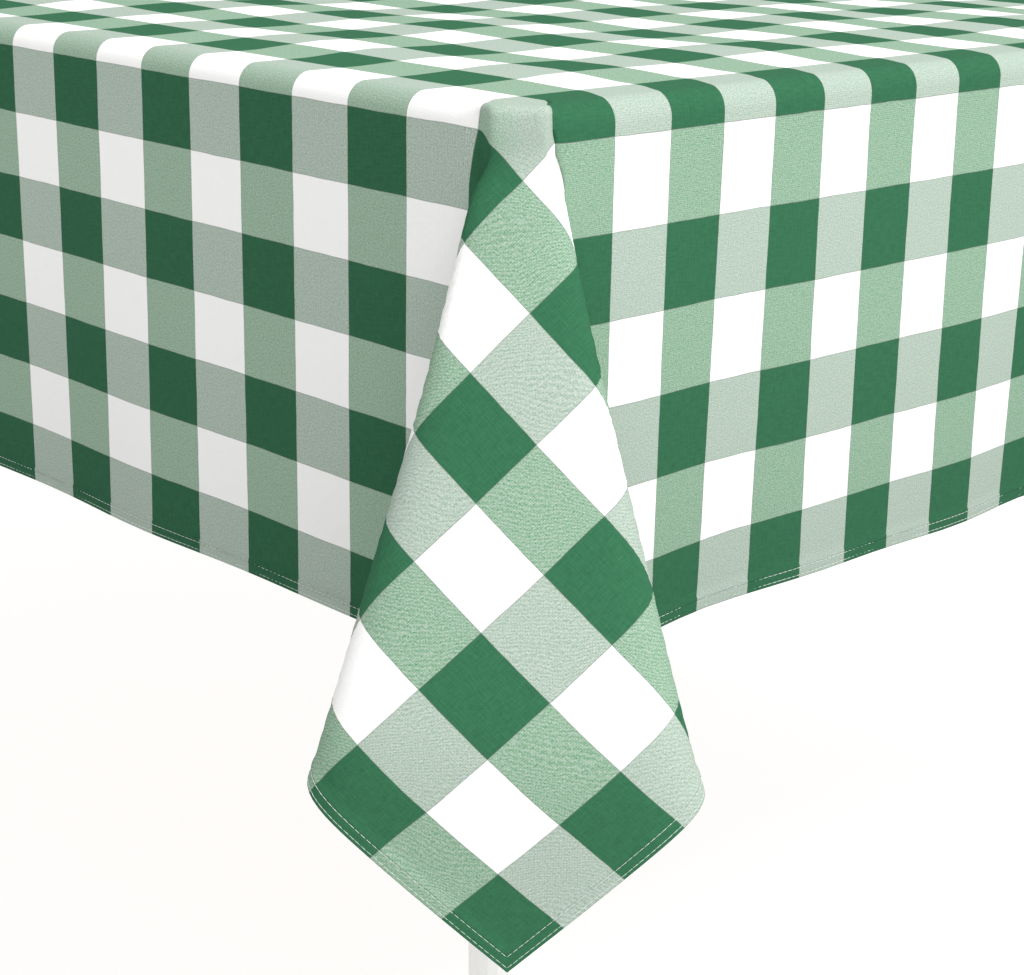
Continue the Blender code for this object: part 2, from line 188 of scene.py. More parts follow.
def tab_shift():
    """How far the tab stands from the round corner, sideways and outwards, for each line of the fan."""
    share = abs(STEPS - QUARTER / 2) / (QUARTER / 2)
    foot = math.asin(TAB_FOOT / CORNER_RADIUS)
    stops = [0, TAB_FRONT_SHARE, TAB_WALL_SHARE]
    side = np.interp(share, stops, [0, TAB_FRONT, TAB_FOOT])
    out = np.interp(share, stops, [CORNER_RADIUS + TAB_PROUD] * 2 + [CORNER_RADIUS * math.cos(foot)])
    turn = foot + (share - TAB_WALL_SHARE).clip(0) / (1 - TAB_WALL_SHARE) * (QUARTER / 2 - foot)
    side = np.where(share > TAB_WALL_SHARE, CORNER_RADIUS * np.sin(turn), side)
    out = np.where(share > TAB_WALL_SHARE, CORNER_RADIUS * np.cos(turn), out)
    round_side = CORNER_RADIUS * np.sin(share * QUARTER / 2)
    round_out = CORNER_RADIUS * np.cos(share * QUARTER / 2)
    shift = np.stack([np.sign(STEPS - QUARTER / 2) * (side - round_side), out - round_out], -1)
    for _ in range(TAB_AVERAGES):
        shift[1:-1] = (shift[:-2] + 2 * shift[1:-1] + shift[2:]) / 4
    return shift


TAB = tab_shift()
print("the tab stands out", round(float(TAB[:, 1].max()) * 1000, 1), "mm")

# %% [markdown]
# ## From the board's edge to the tab
# The tab turns over the board's edge more tightly than the rest of the cloth. A tight roll takes less
# cloth than a wide one, and what it saves hangs lower, so the bands of the check stay level beside it.

# %% Placing the tab
TAB_ROLL, TAB_ROLL_FADE = 0.0030, 0.20  # the roll's radius, and the share of the fan that blends it in
SAVED_LENGTH = 0.020  # the saved cloth slides over the edge within this length
TAB_START, TAB_GROWTH = 0.014, 0.011  # the tab starts on the top and is full size at the edge
OFF_FADE = 0.16


def smooth(x):
    """A smooth step from 0 to 1."""
    x = np.clip(x, 0, 1)
    return x * x * (3 - 2 * x)


def tab_place(reach, angle, level, share, off):
    """Where the tab's own outline puts a point: over a tight roll, then straight down."""
    roll = ROLL_RADIUS - (ROLL_RADIUS - TAB_ROLL) * smooth((1 - share) / TAB_ROLL_FADE)
    saved = (ROLL_RADIUS - roll) * (2 - QUARTER)
    reach = reach + saved * smooth((reach - CORNER_RADIUS + SAVED_LENGTH) / SAVED_LENGTH)
    past = np.clip(reach - (CORNER_RADIUS - roll), 0, None)
    rolled = np.minimum(past / roll, QUARTER)
    extent = np.minimum(reach, CORNER_RADIUS - roll) + roll * np.sin(rolled)
    drop = roll * (1 - np.cos(rolled)) + np.clip(past - roll * QUARTER, 0, None)
    place = level * extent[:, None]
    grown = smooth((reach - CORNER_RADIUS + TAB_START) / TAB_GROWTH)
    for k, way in enumerate((sideways, outward)):
        place = place + way * (grown * np.interp(angle, STEPS, TAB[:, k]))[:, None]
    off_share = 1 - smooth((share - TAB_WALL_SHARE) / OFF_FADE)
    place = place + sideways * (off * grown * off_share)[:, None]
    place[:, 2] -= drop
    return place


saved_most = (ROLL_RADIUS - TAB_ROLL) * (2 - QUARTER)
print("the tab's tight roll saves", round(saved_most * 1000, 1), "mm of cloth")

# %% [markdown]
# ## Down the fan
# Past the board's round corner a point follows its own line of the fan, in short steps, because the
# line bends. Two more things give the fold its outline: a neck pinched in just under the tab, and a
# waist about ten centimetres down, below which the fold widens again towards its hem.

# %% Placing the fold
LINE_STEPS = 24
UNCURL_START, UNCURL_END = 0.27, 0.345  # how far down the cloth the fold's front straightens
BIAS_GIVE = 0.0045  # cloth that hangs slantwise to its threads gives a little
FRONT_LENGTH = 0.38  # from the board's corner to the hanging point
OFF_GROWTH, OFF_END, OFF_END_LENGTH = 0.02, 0.05, 0.08  # where the corner's small offset holds
TAB_END, TAB_BLEND = 0.008, 0.034  # how deep the tab reaches, and how long it takes to become the fold
NECK_DEPTH, NECK_LENGTH, NECK_PINCH = 0.0265, 0.011, 0.0022
NECK_INNER, NECK_OUTER = (0.28, 0.10), (0.56, 0.16)  # radians off the middle, and how slowly it fades
WAIST, WAIST_DEPTH, WAIST_LENGTH = 0.055, 0.105, 0.075
FLARE, FLARE_START, FLARE_LENGTH = 0.030, 0.22, 0.10


def fall(reach, angle, corner):
    """Where a point goes that lies that far past the fan's centre, in that direction."""
    shape = CORNERS[corner]
    fan = fans[corner]
    hang = np.stack([np.interp(angle, STEPS, fan[:, k]) for k in range(3)], -1)
    hang /= np.linalg.norm(hang, axis=-1, keepdims=True)
    level = np.stack([np.cos(angle), np.sin(angle), 0 * angle], -1)
    along = (hang * level).sum(-1, keepdims=True)
    turn = np.arccos(np.clip(along[:, 0], -1, 1))
    down = hang - level * along
    down /= np.linalg.norm(down, axis=-1, keepdims=True)
    past = np.clip(reach - (CORNER_RADIUS - ROLL_RADIUS), 0, None)
    rolled = np.minimum(past / ROLL_RADIUS, turn)[:, None]
    place = level * np.minimum(reach, CORNER_RADIUS - ROLL_RADIUS)[:, None]
    place = place + ROLL_RADIUS * (level * np.sin(rolled) + down * (1 - np.cos(rolled)))
    length = np.clip(past - ROLL_RADIUS * turn, 0, None)
    front = np.sin(2 * angle) ** 2
    length = length + BIAS_GIVE * front * np.sin(math.pi * np.clip(length / FRONT_LENGTH, 0, 1))
    out = hang @ outward
    for i in range(LINE_STEPS):
        here = length * (i + 0.5) / LINE_STEPS + CORNER_RADIUS
        bent = smooth((here - UNCURL_START) / (UNCURL_END - UNCURL_START))
        part = hang - outward * (shape["uncurl"] * bent * out)[:, None]
        part = part + sideways * (shape["lean"] * bent * np.clip(out, 0, 1))[:, None]
        part /= np.linalg.norm(part, axis=-1, keepdims=True)
        place = place + part * (length / LINE_STEPS)[:, None]
    depth = -place[:, 2]
    kept = smooth(past / OFF_GROWTH) * (1 - smooth((depth - OFF_END) / OFF_END_LENGTH))
    place = place + sideways * (shape["off"] * kept * front)[:, None]
    off_middle = angle - QUARTER / 2
    tab = tab_place(reach, angle, level, abs(off_middle) / (QUARTER / 2), shape["off"])
    depth = -tab[:, 2]
    place = tab + (place - tab) * smooth((depth - TAB_END) / TAB_BLEND)[:, None]
    neck = (1 - ((depth - NECK_DEPTH) / NECK_LENGTH) ** 2).clip(0, 1) ** 2
    neck = neck * smooth((abs(off_middle) - NECK_INNER[0]) / NECK_INNER[1])
    neck = neck * (1 - smooth((abs(off_middle) - NECK_OUTER[0]) / NECK_OUTER[1]))
    place = place - sideways * (NECK_PINCH * neck * np.sign(off_middle))[:, None]
    squeeze = WAIST * np.exp(-(((depth - WAIST_DEPTH) / WAIST_LENGTH) ** 2))
    squeeze = squeeze - FLARE * smooth((depth - FLARE_START) / FLARE_LENGTH)
    place = place - sideways * (squeeze * front * (place @ sideways))[:, None]
    return place


middle_line = fall(np.array([0.1, 0.2, 0.3]), np.full(3, QUARTER / 2), (1, -1))
print("the near fold's middle at 10, 20 and 30 cm:", middle_line.round(3).tolist())

# %% [markdown]
# ## Ripples of the sides and waves of the top
# Each side keeps slow ripples, which grow towards the hem and die out near the corners. The right
# side was pulled towards the near corner when the cloth was straightened, so its bands lean, and its
# seam draws the hem up a little. The top isn't quite flat: its waves are a millimetre high.

# %% Ripples and waves
# Each ripple: its height at the hem, its length along the side, and where it starts.
RIPPLES = {
    "right": [(0.0028, 0.262, 0.10), (0.0018, 0.137, 0.42)],
    "front": [(0.0014, 0.310, 0.55), (0.0009, 0.163, 0.10)],
    "left": [(0.0032, 0.271, 0.80), (0.0020, 0.149, 0.35)],
    "back": [(0.0034, 0.318, 0.25), (0.0019, 0.171, 0.62)],
}
RIPPLE_DEPTH, RIPPLE_START, RIPPLE_GROWTH = 0.004, 0.05, 1.35
RIPPLE_FADE = 0.10  # from a corner
HANG_LENGTH = 0.255
PULL_SIDEWAYS, PULL_DOWN = 0.0080, 0.0042
PULL_END, PULL_FADE = 0.30, 0.25  # along Y
PULL_START, PULL_GROWTH = 0.006, 0.026  # it starts on the top, past the round corner's centre
PULL_SAGS, PULL_LEVEL = 0.03, 0.16  # the bands sag most near the board's edge, and not at this depth
PULL_FAN, PULL_FAN_TOP, PULL_FAN_LENGTH = math.radians(8.5), 0.060, 0.020
HEM_DRAW, DRAW_DEPTH, DRAW_GROWTH = 0.0030, 0.17, 0.06
DRAW_FROM, DRAW_RISE = -0.40, 0.12  # along Y
TOP_WAVE, TOP_EDGE = 0.0013, 0.05


def ripple(side, along):
    total = np.zeros_like(along)
    for height, length, start in RIPPLES[side]:
        total += height * np.sin(2 * math.pi * (along / length + start))
    return total


def ripple_sides(placed, u, v, p, q, depth):
    swell = (depth / HANG_LENGTH).clip(0, 1.2) ** RIPPLE_GROWTH
    swell = smooth((depth - RIPPLE_DEPTH) / RIPPLE_START) * swell
    for sign, side in ((1, "right"), (-1, "left")):
        here = (p > 0) & (q <= 0) & (u * sign > 0)
        placed[:, 0] += np.where(here, ripple(side, v) * swell * smooth(-q / RIPPLE_FADE), 0)
    for sign, side in ((-1, "front"), (1, "back")):
        here = (q > 0) & (p <= 0) & (v * sign > 0)
        placed[:, 1] += np.where(here, ripple(side, u) * swell * smooth(-p / RIPPLE_FADE), 0)


def pull_right_side(placed, u, v, q, reach, angle, depth):
    """The pull dies out in the near fan, in a wider angle near its top, where its lines are close."""
    fan = PULL_FAN * (1 + smooth((PULL_FAN_TOP - reach) / PULL_FAN_LENGTH))
    along_side = smooth((PULL_END - v) / PULL_FADE)
    pulled = (u > 0) * along_side * (1 - smooth(angle / fan)) * (reach > 0)
    started = smooth((reach - PULL_START) / PULL_GROWTH)
    placed[:, 1] -= PULL_SIDEWAYS * pulled * started * np.where(v >= 0, 1, -1)
    sag = smooth(depth / PULL_SAGS) * (1 - depth / PULL_LEVEL)
    placed[:, 2] -= PULL_DOWN * pulled * sag
    drawn = (u > 0) * (q <= 0) * smooth((v - DRAW_FROM) / DRAW_RISE) * along_side
    placed[:, 2] += HEM_DRAW * drawn * smooth((depth - DRAW_DEPTH) / DRAW_GROWTH)


def top_wave(u, v):
    """Between 0 and 2, in slow bumps that don't line up with the board."""
    across_top = np.sin(21.0 * u + 2.3 * np.sin(9.1 * v))
    along_top = np.sin(27.0 * v + 1.7 * np.sin(11.2 * u) + 0.6)
    return 1 + across_top * along_top


print("the right side's bands shift", PULL_SIDEWAYS * 1000, "mm towards the near corner")

# %% [markdown]
# ## Laying every point
# One function takes a point of the flat cloth to its place. It works on one quarter of the table at a
# time, with distances from that quarter's round corner, and turns the result round for the others.

# %% Laying the cloth


def lay(u, v):
    """Where points (u, v) of the flat cloth lie on the table, as an array of x, y, z."""
    u, v = np.asarray(u, float), np.asarray(v, float)
    p = abs(u) - (half_length - CORNER_RADIUS)
    q = abs(v) - (half_width - CORNER_RADIUS)
    reach = np.hypot(np.clip(p, 0, None), np.clip(q, 0, None))
    angle = np.where(reach > 0, np.arctan2(np.clip(q, 0, None), np.clip(p, 0, None)), 0)
    placed = np.zeros((len(u), 3))
    for corner in CORNERS:
        here = ((u >= 0) == (corner[0] > 0)) & ((v >= 0) == (corner[1] > 0))
        placed[here] = fall(reach[here], angle[here], corner)
    placed[:, 0] += np.minimum(p, 0)
    placed[:, 1] += np.minimum(q, 0)
    depth = -placed[:, 2]
    ripple_sides(placed, u, v, p, q, depth)
    pull_right_side(placed, u, v, q, reach, angle, depth)
    placed[:, 2] += TOP_WAVE * top_wave(u, v) * smooth(-np.maximum(p, q) / TOP_EDGE)
    placed[:, 0] = (placed[:, 0] + half_length - CORNER_RADIUS) * np.where(u >= 0, 1, -1)
    placed[:, 1] = (placed[:, 1] + half_width - CORNER_RADIUS) * np.where(v >= 0, 1, -1)
    placed[:, 2] += top_height
    return placed


near_corner = lay([CLOTH_LENGTH / 2], [-CLOTH_WIDTH / 2])[0]
print("the near point of the cloth hangs at", near_corner.round(3))

# %% [markdown]
# ## Cutting the cloth
# The sheet starts as a flat grid. Its lines stand close together where the cloth turns tightly, over
# the board's edge and at the hem, and wide apart on the flat top, so a modest number of faces is
# enough. Each point keeps its flat place in a UV map, in metres. The woven pattern reads that map, so
# it goes round every fold as real thread does.

# %% Grid lines
HEM_WIDTH = 0.0074
COARSE = 0.0200  # between lines on the flat top
FOLD_STEP = 0.0004  # half the step from plain cloth to hem


def cut_lines(half_cloth, half_board):
    """The places of the grid's lines along one direction, from one edge of the cloth to the other."""
    fine_from = half_board - CORNER_RADIUS
    rolls = [half_board - ROLL_RADIUS, half_board + 0.6 * ROLL_RADIUS]
    pieces = [
        np.arange(0, fine_from, COARSE),
        np.linspace(fine_from, rolls[0], 11),
        np.linspace(rolls[0], rolls[1], 13),
        np.linspace(rolls[1], half_cloth - HEM_WIDTH - FOLD_STEP, 50),
        [half_cloth - HEM_WIDTH + FOLD_STEP],
        [half_cloth - HEM_WIDTH / 2, half_cloth - 0.0006, half_cloth],  # the hem's round edge
    ]
    half = np.unique(np.round(np.concatenate(pieces), 6))
    return np.concatenate([-half[:0:-1], half])


across = cut_lines(CLOTH_LENGTH / 2, half_length)
along = cut_lines(CLOTH_WIDTH / 2, half_width)
print(len(across), "by", len(along), "lines")

# %% Lay the sheet


def add_object(name, data):
    """A new object in the scene, at the origin."""
    made = bpy.data.objects.new(name, data)
    bpy.context.scene.collection.objects.link(made)
    return made


bm = bmesh.new()
bmesh.ops.create_grid(bm, x_segments=len(across) - 1, y_segments=len(along) - 1, size=1)
sheet_mesh = bpy.data.meshes.new("cloth_sheet")
bm.to_mesh(sheet_mesh)
bm.free()
corners = np.zeros(len(sheet_mesh.vertices) * 3)
sheet_mesh.vertices.foreach_get("co", corners)
corners = corners.reshape(-1, 3)
column = np.rint((corners[:, 0] + 1) / 2 * (len(across) - 1)).astype(int)
row = np.rint((corners[:, 1] + 1) / 2 * (len(along) - 1)).astype(int)
flat = np.stack([across[column], along[row]], -1)
sheet_mesh.vertices.foreach_set("co", lay(flat[:, 0], flat[:, 1]).ravel())
flat_map = sheet_mesh.uv_layers.new(name="flat_cloth")
of_corner = np.zeros(len(sheet_mesh.loops), int)
sheet_mesh.loops.foreach_get("vertex_index", of_corner)
flat_map.data.foreach_set("uv", flat[of_corner].ravel())
sheet_mesh.shade_smooth()
sheet_mesh.update()

cloth = add_object("cloth_sheet", sheet_mesh)
print("sheet of", len(sheet_mesh.polygons), "faces")

# %% [markdown]
# ## Thickness and hem
# Cotton of this kind is half a millimetre thick. Its edge is folded under twice and sewn, so the last
# seven millimetres are three layers thick. A Solidify modifier gives both: a vertex group marks the
# hem, and the factor says how thin the rest is.

# %% Thickness
CLOTH_THICKNESS, HEM_THICKNESS = 0.0005, 0.0014
to_edge = np.minimum(CLOTH_LENGTH / 2 - abs(flat[:, 0]), CLOTH_WIDTH / 2 - abs(flat[:, 1]))
hem_group = cloth.vertex_groups.new(name="hem")
hem_group.add(np.nonzero(to_edge < HEM_WIDTH)[0].tolist(), 1.0, "REPLACE")
thickness = cloth.modifiers.new("thickness", "SOLIDIFY")
thickness.thickness = HEM_THICKNESS
thickness.offset = 0
thickness.vertex_group = "hem"
thickness.thickness_vertex_group = CLOTH_THICKNESS / HEM_THICKNESS
thickness.use_even_offset = False
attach(cloth, "cloth")
print("hem on", int((to_edge < HEM_WIDTH).sum()), "points")

# %% [markdown]
# ## The hem's stitches
# A lockstitch shows as short dashes of thread on both faces. Each dash here is a copy of one small
# ball of twenty faces, stretched along the seam and pressed flat. It stands on the cloth's own
# surface: neighbouring points on the sheet give the direction of the seam and of the face. One row
# holds the hem and a second row, close to the edge, keeps the fold sharp.

# %% Where the stitches go
STITCH_FROM_EDGE, EDGE_STITCH = 0.0056, 0.0016  # the two rows, from the cloth's edge
STITCH_PITCH = 0.0033


def seam_points(from_edge):
    """Flat places of the stitches and the seam's direction there, once round the cloth."""
    a, b = CLOTH_LENGTH / 2 - from_edge, CLOTH_WIDTH / 2 - from_edge
    ends = [(a, -b), (a, b), (-a, b), (-a, -b), (a, -b)]
    places, ways = [], []
    for (x0, y0), (x1, y1) in zip(ends, ends[1:]):
        length = math.hypot(x1 - x0, y1 - y0)
        count = int(length / STITCH_PITCH)
        for i in range(count):
            t = (i + 0.5) / count
            places.append((x0 + (x1 - x0) * t, y0 + (y1 - y0) * t))
            ways.append(((x1 - x0) / length, (y1 - y0) / length))
    return np.array(places), np.array(ways)


rows = [seam_points(STITCH_FROM_EDGE), seam_points(EDGE_STITCH)]
places, ways = (np.concatenate(parts) for parts in zip(*rows))
print(len(rows[0][0]), "and", len(rows[1][0]), "stitches in the two rows")

# %% Sew the hem
STITCH_LENGTH, THREAD_WIDTH = 0.0040, 0.00030
STITCH_RISE = HEM_THICKNESS / 2 - 0.00005  # a little sunk into the cloth
NEAR = 0.0005  # how far apart the points lie that give the directions
draw = random.Random(7)
middle = lay(places[:, 0], places[:, 1])
ahead = lay(*(places + ways * NEAR).T) - lay(*(places - ways * NEAR).T)
beside = np.stack([-ways[:, 1], ways[:, 0]], -1)
aside = lay(*(places + beside * NEAR).T) - lay(*(places - beside * NEAR).T)
ahead /= np.linalg.norm(ahead, axis=1, keepdims=True)
face = np.cross(ahead, aside)
face /= np.linalg.norm(face, axis=1, keepdims=True)
side = np.cross(face, ahead)
bm = bmesh.new()
bmesh.ops.create_icosphere(bm, subdivisions=1, radius=0.5)
bm.verts.index_update()
ball = np.array([vert.co for vert in bm.verts])
ball_faces = np.array([[vert.index for vert in facet.verts] for facet in bm.faces])
bm.free()
both_faces = [1] * len(places) + [-1] * len(places)
lengths = np.array([STITCH_LENGTH * draw.uniform(0.94, 1.04) for _ in both_faces])[:, None]
ahead, side, face = (np.concatenate([way, way]) for way in (ahead, side, face))
centres = np.concatenate([middle, middle]) + face * STITCH_RISE * np.array(both_faces)[:, None]
stretch = np.stack([ahead * lengths, side * THREAD_WIDTH, face * THREAD_WIDTH * 0.8], 1)
dashes = np.einsum("pk,skj->spj", ball, stretch) + centres[:, None]
numbers = ball_faces + len(ball) * np.arange(len(centres))[:, None, None]
thread_mesh = bpy.data.meshes.new("hem_thread")
thread_mesh.from_pydata(dashes.reshape(-1, 3).tolist(), [], numbers.reshape(-1, 3).tolist())
thread_mesh.shade_smooth()
thread = add_object("hem_thread", thread_mesh)
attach(thread, "cloth")
print(len(places), "stitches on each face,", len(thread_mesh.polygons), "faces")

# %% [markdown]
# ## The cloth as one sheet
# The frame's solids for the cloth are nine stiff stand-ins. The sheet replaces them all, and they are
# hidden.

CLOTH_NODES = [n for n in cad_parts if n.startswith("cloth_")]
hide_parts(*CLOTH_NODES)
print("the sheet stands for", len(CLOTH_NODES), "solids")

# %% [markdown]
# ## Tools for the finishes
# A material is a small network of nodes. These helpers keep its code short: most add one node and
# fill its inputs. A value may be a number or another node's output.

# %% Node helpers


def feed(tree, socket, value):
    """Gives a socket a number, or links it to another node's output."""
    if isinstance(value, bpy.types.NodeSocket):
        tree.links.new(value, socket)
    else:
        socket.default_value = value


def add_node(tree, kind, inputs=None, **settings):
    made = tree.nodes.new(kind)
    for name, value in settings.items():
        setattr(made, name, value)
    for name, value in (inputs or {}).items():
        feed(tree, made.inputs[name], value)
    return made


def calc(tree, operation, *values, clamp=False):
    made = add_node(tree, "ShaderNodeMath", dict(enumerate(values)), operation=operation)
    made.use_clamp = clamp
    return made.outputs[0]


def mul(tree, *values):
    return calc(tree, "MULTIPLY", *values)


def madd(tree, *values, clamp=False):
    """The first value times the second, plus the third."""
    return calc(tree, "MULTIPLY_ADD", *values, clamp=clamp)


def mix(tree, factor, low, high):
    """A colour between two others."""
    made = add_node(tree, "ShaderNodeMix", data_type="RGBA")
    for name, value in (("Factor_Float", factor), ("A_Color", low), ("B_Color", high)):
        socket = next(s for s in made.inputs if s.identifier == name)
        feed(tree, socket, (*value, 1.0) if isinstance(value, tuple) and len(value) == 3 else value)
    return next(s for s in made.outputs if s.identifier == "Result_Color")


def noise(tree, vector, scale, detail=2.0, roughness=0.5):
    inputs = {"Vector": vector, "Scale": scale, "Detail": detail, "Roughness": roughness}
    return add_node(tree, "ShaderNodeTexNoise", inputs).outputs["Fac"]


def split(tree, vector):
    """A vector's three values."""
    return add_node(tree, "ShaderNodeSeparateXYZ", {"Vector": vector}).outputs


def join(tree, x, y, z):
    """A vector of three values."""
    return add_node(tree, "ShaderNodeCombineXYZ", {"X": x, "Y": y, "Z": z}).outputs[0]


def scaled(tree, vector, x, y, z):
    """A vector with each part made longer or shorter, to pull a pattern out one way."""
    made = add_node(tree, "ShaderNodeVectorMath", {0: vector, 1: (x, y, z)}, operation="MULTIPLY")
    return made.outputs[0]


def start_group(name, ins, outs):
    """An empty node group with named float inputs, one Vector input and named float outputs."""
    group = bpy.data.node_groups.new(name, "ShaderNodeTree")
    group.interface.new_socket("Vector", in_out="INPUT", socket_type="NodeSocketVector")
    for socket in ins:
        group.interface.new_socket(socket, in_out="INPUT", socket_type="NodeSocketFloat")
    for socket in outs:
        group.interface.new_socket(socket, in_out="OUTPUT", socket_type="NodeSocketFloat")
    return group, add_node(group, "NodeGroupInput").outputs, add_node(group, "NodeGroupOutput").inputs


def use_group(tree, group, vector, **values):
    """A node that runs the group, as its outputs."""
    made = add_node(tree, "ShaderNodeGroup", node_tree=group)
    feed(tree, made.inputs["Vector"], vector)
    for name, value in values.items():
        feed(tree, made.inputs[name.replace("_", " ").capitalize()], value)
    return made.outputs


def start_material(name):
    """A material with one Principled shader: the material, its tree and the shader."""
    made = bpy.data.materials.new(name)
    made.use_nodes = True
    made.node_tree.nodes.clear()
    tree = made.node_tree
    shader = add_node(tree, "ShaderNodeBsdfPrincipled")
    output = add_node(tree, "ShaderNodeOutputMaterial")
    tree.links.new(shader.outputs[0], output.inputs[0])
    return made, tree, shader


def settle(shader, **values):
    """Sets plain values on the shader's own inputs."""
    for name, value in values.items():
        shader.inputs[name.replace("_", " ")].default_value = value


def own_place(tree):
    return add_node(tree, "ShaderNodeTexCoord").outputs["Object"]


def raise_surface(tree, shader, height):
    """Turns a height in metres into the surface's own relief."""
    bump = add_node(tree, "ShaderNodeBump", {"Height": height, "Strength": 1.0, "Distance": 1.0})
    tree.links.new(bump.outputs[0], shader.inputs["Normal"])


print("helpers ready")

# %% [markdown]
# ## The weave
# In a plain weave each thread goes over one and under the next, so its relief is a tiny chequer with
# a pitch of half a millimetre. Yarn is never even: thick places run along a thread for a few
# millimetres. The group gives the relief, the ribs that the thicker threads make, and the
# unevenness of the yarn each way. The gingham and the sewing thread both use it.

# %% Weave group
WANDER = 0.0006  # how far a thread strays, in metres
weave, given, made = start_group("plain_weave", ["Pitch"], ["Relief", "Ribs", "Yarn"])
x, y, _ = split(weave, given["Vector"])
wander = noise(weave, given["Vector"], 55.0, 2.0)
x = calc(weave, "ADD", x, mul(weave, wander, WANDER))
turns_x = mul(weave, calc(weave, "DIVIDE", x, given["Pitch"]), math.pi)
turns_y = mul(weave, calc(weave, "DIVIDE", y, given["Pitch"]), math.pi)
chequer = mul(weave, calc(weave, "SINE", turns_x), calc(weave, "SINE", turns_y))
feed(weave, made["Relief"], chequer)
short = noise(weave, scaled(weave, given["Vector"], 1.0, 0.42, 1.0), 900.0, 2.0)
ribs = calc(weave, "SINE", calc(weave, "ADD", turns_x, mul(weave, short, 7.0)))
feed(weave, made["Ribs"], ribs)
warp_yarn = noise(weave, scaled(weave, given["Vector"], 1.0, 0.10, 1.0), 1500.0, 3.0, 0.6)
weft_yarn = noise(weave, scaled(weave, given["Vector"], 0.10, 1.0, 1.0), 1500.0, 3.0, 0.6)
feed(weave, made["Yarn"], calc(weave, "SUBTRACT", calc(weave, "ADD", warp_yarn, weft_yarn), 1.0))
print("group", weave.name)

# %% [markdown]
# ## Gingham
# Bands of green and white thread cross each other. Where two green bands cross the cloth is dark
# green, where two white bands cross it is white, and where green crosses white the eye mixes the
# threads to a pale green. A sine wave with the bands' pitch, made steep, tells on which band a point
# lies.

# %% Bands
CHECK_LENGTH, CHECK_WIDTH = 0.0405, 0.0350  # one band, along X and along Y
CHECK_START_X, CHECK_START_Y = 0.770, -0.472
BAND_EDGE = 40.0  # how steep the change is from band to band
WAVER = 0.0011  # how far a band's edge strays

gingham, tree, shader = start_material("gingham_cotton")
flat_uv = add_node(tree, "ShaderNodeUVMap", uv_map="flat_cloth").outputs[0]
u, v, _ = split(tree, flat_uv)
waver = mul(tree, calc(tree, "SUBTRACT", noise(tree, flat_uv, 40.0, 4.0), 0.5), WAVER)


def band(coordinate, start, pitch):
    """Above 0 on a green band and below 0 on a white one."""
    strayed = calc(tree, "ADD", coordinate, waver)
    turns = mul(tree, calc(tree, "SUBTRACT", strayed, start), math.pi / pitch)
    return calc(tree, "SINE", turns)


wave_u = band(u, CHECK_START_X, CHECK_LENGTH)
wave_v = band(v, CHECK_START_Y, CHECK_WIDTH)
green_u = madd(tree, wave_u, BAND_EDGE, 0.5, clamp=True)
green_v = madd(tree, wave_v, BAND_EDGE, 0.5, clamp=True)
both = mul(tree, green_u, green_v)
only_u = calc(tree, "SUBTRACT", green_u, both)
only_v = calc(tree, "SUBTRACT", green_v, both)
print("checks of", CHECK_LENGTH * 1000, "by", CHECK_WIDTH * 1000, "mm")

# %% [markdown]
# ## Where the cloth hangs
# Threads don't look the same on the top, on the sides and on the corner folds, because each sees the
# light at another angle; that light and shade is painted into the colour by region. The flat map tells
# where a point lies. On the folds the cloth hangs slantwise to its threads, and there it has fine
# crinkles.

# %% Top, ends, sides and corners
BEND_X, BEND_Y = 0.787, 0.487  # where the cloth starts to turn down, on the flat map
BEND_STEEPNESS = 60.0  # so the change takes 1/60 of a metre
CRIMP_PITCH = 0.0018
CRIMP_STRAY, CRIMP_SHAKE = 110.0, 9.0  # in radians: slow and quick changes of the crinkles' place

off_x, off_y = calc(tree, "ABSOLUTE", u), calc(tree, "ABSOLUTE", v)
ends = madd(tree, off_x, BEND_STEEPNESS, -BEND_STEEPNESS * BEND_X, clamp=True)
sides = madd(tree, off_y, BEND_STEEPNESS, -BEND_STEEPNESS * BEND_Y, clamp=True)
corner = mul(tree, ends, sides)
only_ends = calc(tree, "SUBTRACT", ends, corner)
only_sides = calc(tree, "SUBTRACT", sides, corner)

slant = math.tau / (CRIMP_PITCH * math.sqrt(2))
slanting = mul(tree, calc(tree, "ADD", off_x, off_y), slant)
slanting = madd(tree, noise(tree, flat_uv, 20.0, 1.0), CRIMP_STRAY, slanting)
slanting = madd(tree, noise(tree, flat_uv, 420.0, 1.0), CRIMP_SHAKE, slanting)
crimp = mul(tree, calc(tree, "SINE", slanting), corner)
print("the cloth turns down at", BEND_X, "and", BEND_Y, "m")

# %% [markdown]
# ## How much green shows
# In a pale check some threads are green and some are white. Thick green threads cover more, so the
# two pale greens differ. Which of them is darker changes where the cloth hangs: that is painted light
# and shade, a share of green and a green tone set by region to stand for how level and hanging threads
# catch the light. The yarn's unevenness makes every thread cover a little more or less.

# %% Colours of the checks
WHITE_YARN = (0.885, 0.885, 0.870)
LEVEL_GREEN_PAINTED_LIGHT = (0.030, 0.158, 0.062)  # painted light: green threads that cross white ones, where they lie level, greyed as by a sheen
HANGING_GREEN_PAINTED_LIGHT = (0.034, 0.202, 0.070)  # painted light: and where they hang down, greener where no sheen is painted
DARK_CHECK = (0.031, 0.128, 0.063)  # where green crosses green
COVER_ALONG, COVER_ACROSS = 0.610, 0.745  # the share of green that shows in each pale check
PAINTED_LIGHT_ENDS, PAINTED_LIGHT_SIDES = 0.015, -0.150  # painted light and shade: a little more green shows on the ends, less on the long sides
PAINTED_LIGHT_HANGING = 0.098  # painted shade: more green shows where threads hang straight down on the long sides
THREAD_PITCH = 0.00045
CRIMP = 0.050

threads = use_group(tree, weave, flat_uv, pitch=THREAD_PITCH)
grit = noise(tree, flat_uv, 1250.0, 2.0, 0.6)
uneven = mul(tree, threads["Yarn"], 0.22)
uneven = madd(tree, threads["Ribs"], 0.045, uneven)
uneven = madd(tree, threads["Relief"], 0.085, uneven)
uneven = madd(tree, calc(tree, "SUBTRACT", grit, 0.5), 0.58, uneven)
uneven = madd(tree, crimp, CRIMP, uneven)

